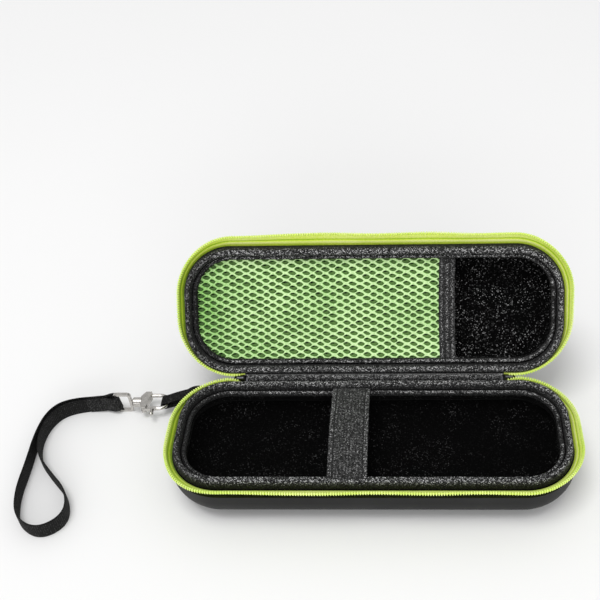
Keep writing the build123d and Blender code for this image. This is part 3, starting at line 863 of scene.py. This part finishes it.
def net(name, material, drop, shift, hole, crown):
    """Warp-knit net: rounded yarn round each oval hole. The cells tile a slanted lattice."""
    sides = 16
    reach_cells = 17
    lattice_middle = -32
    shaded_width = 26
    # The tone column is painted shading: painted shade round each hole, painted highlight on the yarn's
    # crown; edge_shade adds painted shade near the left end.
    across = (  # share of the way out of the hole, share of the crown, tone
        (1.0, 0.85, 0.72),
        (0.72, 1.0, 0.95),
        (0.42, 0.8, 0.85),
        (0.16, 0.35, 0.5),
        (0.0, -0.2, 0.2),
        (0.08, -0.8, 0.0),
    )
    points, faces, painted_shading = [], [], []
    for i in range(-reach_cells, reach_cells + 1):
        for j in range(-reach_cells, reach_cells + 1):
            centre_x = (i + j) * CELL_X + lattice_middle + shift[0]
            centre_y = (i - j) * CELL_Y + NET_MIDDLE + shift[1]
            if math.dist((centre_x, centre_y), in_pocket(centre_x, centre_y)) > 1.5:
                continue
            first = len(points)
            wobble = 1 + wave(centre_x, centre_y, 11, 6, 0.3)
            slant = 0.45 + wave(centre_x, centre_y, 29, 9, 0.35)
            edge_shade = 0.22 * max(0.0, 1 - (centre_x - NET_LEFT) / shaded_width)
            for away, up, tone in across:
                for k in range(sides):
                    angle = 2 * math.pi * k / sides
                    cos, sin = math.cos(angle), math.sin(angle)
                    lattice = 1 / (abs(cos) / CELL_X + abs(sin) / CELL_Y)
                    inner_x, inner_y = hole[0] * wobble * cos + slant * sin, hole[1] * wobble * sin
                    x = centre_x + inner_x + (cos * lattice - inner_x) * away
                    y = centre_y + inner_y + (sin * lattice - inner_y) * away
                    bend_x, bend_y = wave(x, y, 51, 8, 0.9), wave(x, y, 67, 8, 0.55)
                    x, y = in_pocket(x + bend_x, y + bend_y)
                    points.append((x, y, net_height(x, y) - drop + crown * up))
                    painted_shading.append(tone - edge_shade)
            for face in grid_faces(len(across), sides, close_columns=True):
                faces.append(tuple(first + k for k in reversed(face)))
    obj = piece(name, points, faces, material, in_lid, painted_shading)
    clean(obj, 0.03)
    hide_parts("mesh_pocket")
    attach(obj, "lid")


net("pocket_net", NET, drop=0.0, shift=(0, 0), hole=(1.95, 1.15), crown=0.42)
net("pocket_net_back", NET_BACK, drop=1.0, shift=(3.0, 1.0), hole=(0.9, 0.6), crown=0.3)


# ---- flat bands: pocket's edge, elastic strap, ribbon and folded webbing
def band_section(width, thickness, ribs, rib_height=0.1, hem=0.0, steps=48):
    """Closed section of a flat band as (across, up, tone), with ribs along both faces and hemmed edges; the
    tone is painted shading, paler on ribs and hems and darker in the grooves beside the hems.
    """
    hem_width = 0.2
    groove_end = 0.26
    groove = -0.15
    section = []
    for face in (1, -1):
        for k in range(steps + 1):
            across = face * (2 * k / steps - 1)
            from_edge = 1 - abs(across)
            rib = rib_height * math.cos(math.pi * ribs * across) if from_edge > 0.04 else 0
            if 0.03 < from_edge < hem_width and hem:
                rib = hem
            elif hem and hem_width < from_edge < groove_end:
                rib = groove
            half = thickness / 2 * (1 - 0.75 * abs(across) ** 14)
            section.append((across * width / 2, face * (half + rib), 0.75 + 3 * rib))
    return section


def band(name, node, body, half, line, section, material, rib, rib_pitch):
    """Band along a line of (point, across, up), with fine ribs across it."""
    walked = distances([place for place, _, _ in line])
    points, painted_shading = [], []
    for (place, across, up), distance in zip(line, walked):
        swell = rib * math.cos(2 * math.pi * distance / rib_pitch)
        for side, rise, tone in section:
            points.append(tuple(place + across * side + up * (rise + math.copysign(swell, rise))))
            # painted shading also follows the cross ribs: paler on their crests, darker between them
            painted_shading.append(tone + 2 * swell)
    obj = piece(name, points, sweep(len(line), len(section)), material, half, painted_shading)
    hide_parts(node)
    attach(obj, body)


def stitches(name, body, line, slot, length, gap, thickness):
    """Row of thread stitches along a line of (point, up)."""
    sides = 6
    lead = 0.15
    arc = (0.0, 0.25, 0.5, 0.75, 1.0)
    walked = distances([place for place, _ in line])
    number = int(walked[-1] / (length + gap))
    points, faces = [], []
    k = 0
    for stitch in range(number):
        faces += sweep(len(arc), sides, len(points))
        for share in arc:
            want = (stitch + lead) * walked[-1] / number + length * share
            while k < len(walked) - 2 and walked[k + 1] < want:
                k += 1
            part = (want - walked[k]) / (walked[k + 1] - walked[k])
            place = line[k][0].lerp(line[k + 1][0], part)
            up = line[k][1].lerp(line[k + 1][1], part).normalized()
            side = (line[k + 1][0] - line[k][0]).cross(up).normalized()
            bow = math.sin(math.pi * share)
            size = thickness * (0.5 + 0.5 * min(1, 3 * bow))
            for m in range(sides):
                angle = 2 * math.pi * m / sides
                rise = thickness * (bow - 0.4) + size * math.sin(angle)
                points.append(tuple(place + up * rise + side * (size * math.cos(angle))))
    obj = piece(name, points, faces, THREAD)
    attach(obj, body)


def pocket_edge():
    """Elastic edge of the pocket's mouth: its ends go under the inner roll, and its middle bows and sags."""
    steps = 180
    tuck = 0.6
    bow_depth = 0.5
    sag = 0.4
    half_length = NET_HALF + tuck
    line = []
    for k in range(steps + 1):
        off = half_length * (2 * k / steps - 1)
        bow = math.cos(math.pi / 2 * off / half_length)
        middle = MOUTH + pocket_edge_width / 2 - bow_depth * bow
        place = Vector((middle, NET_MIDDLE + off, NET_TOP - 0.5 - sag * bow))
        line.append((place, Vector((1, 0, 0)), Vector((0, 0, 1))))
    section = band_section(pocket_edge_width, 1.4, ribs=3, steps=60)
    band(
        "pocket_mouth", "pocket_edge", "lid", in_lid, line, section, ELASTIC,
        rib=0.06, rib_pitch=1.0,
    )


def well_strap():
    """Elastic strap that bows over the well; its ends go down between the two rolls."""
    foot = rear - front_margin / 2 - (binding_start + binding_width + welt_start) / 2
    bend = shell_height + welt_rise + 0.8
    top = bend + strap_arch
    radius = (foot ** 2 + strap_arch ** 2) / (2 * strap_arch)
    swing = math.asin(foot / radius)
    steps, rise_steps = 150, 8
    low = shell_height + 0.2
    rise = [(foot, low + (bend - shell_height - 1) * k / rise_steps) for k in range(rise_steps + 1)]
    angles = [swing * (1 - 2 * k / steps) for k in range(steps + 1)]
    arch = [radius * Vector((math.sin(a), math.cos(a))) for a in angles]
    outline = [Vector(p) for p in rise]
    outline += [Vector((p.x, top - radius + p.y)) for p in arch]
    outline += [Vector((-p[0], p[1])) for p in reversed(rise)]
    outline = smoothed(outline, 6)
    line = []
    for i, p in enumerate(outline):
        along = heading(outline, i)
        place = Vector((strap_centre, p.x + front_margin / 2, p.y))
        line.append((place, Vector((1, 0, 0)), Vector((0, along.y, -along.x))))
    section = band_section(strap_width, 0.8, ribs=12, rib_height=0.04, hem=0.1, steps=110)
    band(
        "well_strap", "elastic_strap", "base", in_base, line, section, ELASTIC,
        rib=0.07, rib_pitch=1.2,
    )
    over_well = line[rise_steps:-rise_steps]
    for side in (-1, 1):
        for row, inset in enumerate((1.4, 2.6)):
            across = side * (strap_width / 2 - inset)
            seam = [(place + Vector((across, 0, 0)) + up * 0.5, up) for place, _, up in over_well]
            name = f"strap_seam_{'left' if side < 0 else 'right'}_{row}"
            stitches(name, "base", seam, "elastic", length=1.5, gap=0.6, thickness=0.17)


pocket_edge()
well_strap()


# ---- spine cover and the knit strip behind it, which bend with the lid
TURN = math.radians(180 - lid_open)
HINGE = Vector((rear, closing_height))
LID_BACK = Vector((math.sin(TURN), -math.cos(TURN)))
LID_IN = Vector((math.cos(TURN), math.sin(TURN)))


def fold_line(offset, reach):
    """Side view of a strip up the base's back, round the hinge line on its inside, and down the lid's."""
    leg_steps = 12
    turn_steps = 10
    base_leg = [HINGE + Vector((-offset, reach * (k / leg_steps - 1))) for k in range(leg_steps + 1)]
    lid_leg = [HINGE + LID_IN * offset + LID_BACK * (reach * k / leg_steps) for k in range(leg_steps + 1)]
    finish = math.atan2(LID_IN.y, LID_IN.x)
    angles = [math.pi + (finish - math.pi) * k / turn_steps for k in range(1, turn_steps)]
    bend = [HINGE + offset * Vector((math.cos(a), math.sin(a))) for a in angles]
    return base_leg + bend + lid_leg


def strip(name, node, material, outer, inner, reach, pucker):
    """Flexible strip between two offsets from the hinge line, puckered between its sewn edges."""
    columns = 220
    still = 0.9  # round the hinge line
    seam = 1.5  # over which the puckers fade out along both edges
    section = fold_line(outer, reach) + fold_line(inner, reach)[::-1]
    points = []
    for i in range(columns + 1):
        x = spine_end * (2 * i / columns - 1)
        for place in section:
            distance = (HINGE - place).length
            fade = share_of(reach - distance, seam)
            lift = fade * wave(x, place.x, place.y, 7, pucker) if distance > still else 0
            points.append((x, place.x + 0.5 * lift, place.y + 0.3 * lift))
    faces = [tuple(reversed(face)) for face in sweep(columns + 1, len(section))]
    obj = piece(name, points, faces, material)
    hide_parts(node)
    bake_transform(obj)


strip(
    "spine_wrap", "spine_cover", GLOSS,
    outer=0.02, inner=0.7, reach=zip_half_width + 0.3, pucker=0.2,
)
strip(
    "hinge_strip", "hinge_lining", KNIT_STRIP,
    outer=spine_thickness, inner=1.15, reach=binding_rise - 1, pucker=0.1,
)


# ---- ribbon loop and the webbing's fold
FOLD_RADIUS = 2.45  # of both bands where they turn round a wire


def ribbon():
    """Ribbon that leaves the spine on its edge, turns flat round the clasp's wire, and comes back below."""
    tail_steps, side_steps, turn_steps = 20, 26, 20
    turning_steps = 12
    radius, arch, sag = FOLD_RADIUS, 0.9, 0.7
    bend = Vector((loop_bend, 0, clasp_height))
    root = Vector((tail_end + 1.5, 0, ribbon_z))
    top = bend + radius * Vector((0.25, 0, 0.968))
    low = bend + radius * Vector((-0.05, 0, -0.999))
    back = root + Vector((-1.0, 0, -2.0))
    tail_start = Vector((-spine_end - 0.5, 0, ribbon_z))
    tail = [tail_start.lerp(root, k / tail_steps) for k in range(tail_steps)]
    upper = [root.lerp(top, k / side_steps) for k in range(side_steps)]
    upper = [p + Vector((0, 0, arch * math.sin(math.pi * k / side_steps))) for k, p in enumerate(upper)]
    first, last = math.radians(75.5), math.radians(267)
    angles = [first + (last - first) * k / turn_steps for k in range(turn_steps)]
    turn = [bend + radius * Vector((math.cos(a), 0, math.sin(a))) for a in angles]
    lower = [low.lerp(back, k / side_steps) for k in range(side_steps + 1)]
    lower = [p - Vector((0, 0, sag * math.sin(math.pi * k / side_steps))) for k, p in enumerate(lower)]
    route = tail + upper + turn + lower
    line = []
    for i, p in enumerate(route):
        past_tail = i - tail_steps
        to_go = len(route) - 1 - i
        on_edge = max(1 - max(past_tail, 0) / turning_steps, 0.85 * (1 - to_go / turning_steps), 0)
        along = heading(route, i)
        flat = Vector((0, 1, 0))
        across = flat * math.cos(math.pi / 2 * on_edge) + flat.cross(along) * math.sin(math.pi / 2 * on_edge)
        line.append((Vector((p.x, ribbon_y, p.z)), across, along.cross(across).normalized()))
    section = band_section(ribbon_width, 0.65, ribs=9, steps=40)
    band(
        "ribbon", "ribbon_loop", "base", in_base, line, section, WEBBING,
        rib=0.05, rib_pitch=0.9,
    )


def webbing_fold():
    """End of the webbing round the ring's bar: two layers, stitched together, that slope to the table."""
    radius, gap = FOLD_RADIUS, 1.0
    layer_steps, spread_steps, turn_steps = 40, 15, 20
    layer_end, layer_start = 17.4, 7.0
    droop = math.atan2(clasp_height - webbing_width / 2, 16.0)
    layer_length = layer_end - layer_start
    layer = [Vector((layer_end - layer_length * k / layer_steps, -gap)) for k in range(layer_steps)]
    shares = [k / spread_steps for k in range(spread_steps)]
    spread = [Vector((layer_start - 6.6 * t, -gap - (radius - gap) * smooth_step(t))) for t in shares]
    angles = [math.pi / 2 + math.pi * k / turn_steps for k in range(turn_steps + 1)]
    turn = [radius * Vector((math.cos(a), -math.sin(a))) for a in angles]
    half_way = layer + spread
    route = smoothed(half_way + turn + [Vector((p.x, -p.y)) for p in reversed(half_way)], 2)
    slope = Vector((math.cos(droop), 0, math.sin(droop)))
    across = Vector((-math.sin(droop), 0, math.cos(droop)))
    bar = Vector((fold_start, ribbon_y, clasp_height))
    line = []
    for i, p in enumerate(route):
        along = heading(route, i)
        travel = -along.x * slope - Vector((0, along.y, 0))
        line.append((bar - slope * p.x - Vector((0, p.y, 0)), across, travel.cross(across).normalized()))
    section = band_section(webbing_width, 1.1, ribs=0, steps=40)
    band(
        "webbing_fold", "strap_fold", "strap", in_base, line, section, WEBBING,
        rib=0.1, rib_pitch=1.15,
    )
    seam_half = 4.6
    for row, share in enumerate((0.1, 0.17)):
        for side, k in (("back", round(len(line) * share)), ("front", round(len(line) * (1 - share)))):
            place, _, up = line[k]
            outward = up if (up.y < 0) == (side == "front") else -up
            seam = [(place + across * (seam_half * (m / 10 - 1)) + outward * 0.6, outward) for m in range(21)]
            name = f"fold_seam_{side}_{row}"
            stitches(name, "strap", seam, "webbing", length=1.3, gap=0.5, thickness=0.15)


ribbon()
webbing_fold()


# ---- floor and light
FLOOR_TONE = 0.84
LAMPS = (  # name, place, aimed at, width, height, watts
    ("key", (-0.4, -0.5, 2.9), (0, 0.03, 0), 1.6, 1.2, 43.0),
    ("front", (0.3, -2.8, 1.0), (0, 0.04, 0.03), 2.4, 1.0, 25.0),
)
SKY_STRENGTH = 0.64


def floor():
    size = 4.0
    mesh = bpy.data.meshes.new("floor")
    corners = [(-size, -size, 0), (size, -size, 0), (size, size, 0), (-size, size, 0)]
    mesh.from_pydata(corners, [], [(0, 1, 2, 3)])
    obj = bpy.data.objects.new("floor", mesh)
    bpy.context.collection.objects.link(obj)
    look = Look("floor_paper", gray(FLOOR_TONE), 0.9, Specular_IOR_Level=0.1)
    look.color(look.noise(3, 2), [(0.3, gray(FLOOR_TONE - 0.005)), (0.7, gray(FLOOR_TONE + 0.005))])
    mesh.materials.append(look.material)


def lamp(name, place, target, width, height, watts):
    data = bpy.data.lights.new(name, "AREA")
    data.shape = "RECTANGLE"
    data.size = width
    data.size_y = height
    data.energy = watts
    obj = bpy.data.objects.new(name, data)
    bpy.context.collection.objects.link(obj)
    obj.location = place
    obj.rotation_euler = (Vector(target) - Vector(place)).to_track_quat("-Z", "Y").to_euler()


floor()
for values in LAMPS:
    lamp(*values)
sky = bpy.data.worlds.new("studio")
sky.use_nodes = True
sky.node_tree.nodes["Background"].inputs["Color"].default_value = (1, 1, 1, 1)
sky.node_tree.nodes["Background"].inputs["Strength"].default_value = SKY_STRENGTH
bpy.context.scene.world = sky
bpy.context.scene.view_settings.view_transform = "Standard"
